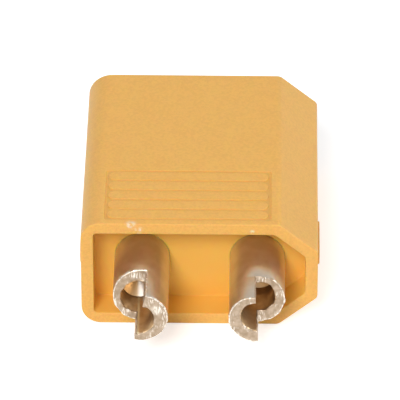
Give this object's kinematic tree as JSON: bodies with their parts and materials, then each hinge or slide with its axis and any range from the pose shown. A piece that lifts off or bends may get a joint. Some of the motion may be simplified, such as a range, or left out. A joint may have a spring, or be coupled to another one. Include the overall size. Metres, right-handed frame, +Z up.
{
  "type": "battery connector",
  "caption": "Two-pole battery connector: shrouded pin half with open solder cups at the rear and a keyed nylon housing.",
  "frame": {"origin": "centre of the flat underside of the housing, half way between the solder-side rim and the mating rim", "axes": "+X across the two contacts towards the keyed (sloped) side, +Y out of the mating socket, so the solder cups point to -Y, +Z up"},
  "size_m": [0.0104, 0.0148, 0.0053],
  "materials": {
    "nylon": "fine spark-eroded grain, satin",
    "plating": "bright plating over brass, sawn faces rough"
  },
  "bodies": {
    "root": {"housing": "nylon", "contact_positive": "plating", "contact_negative": "plating"}
  },
  "joints": []
}
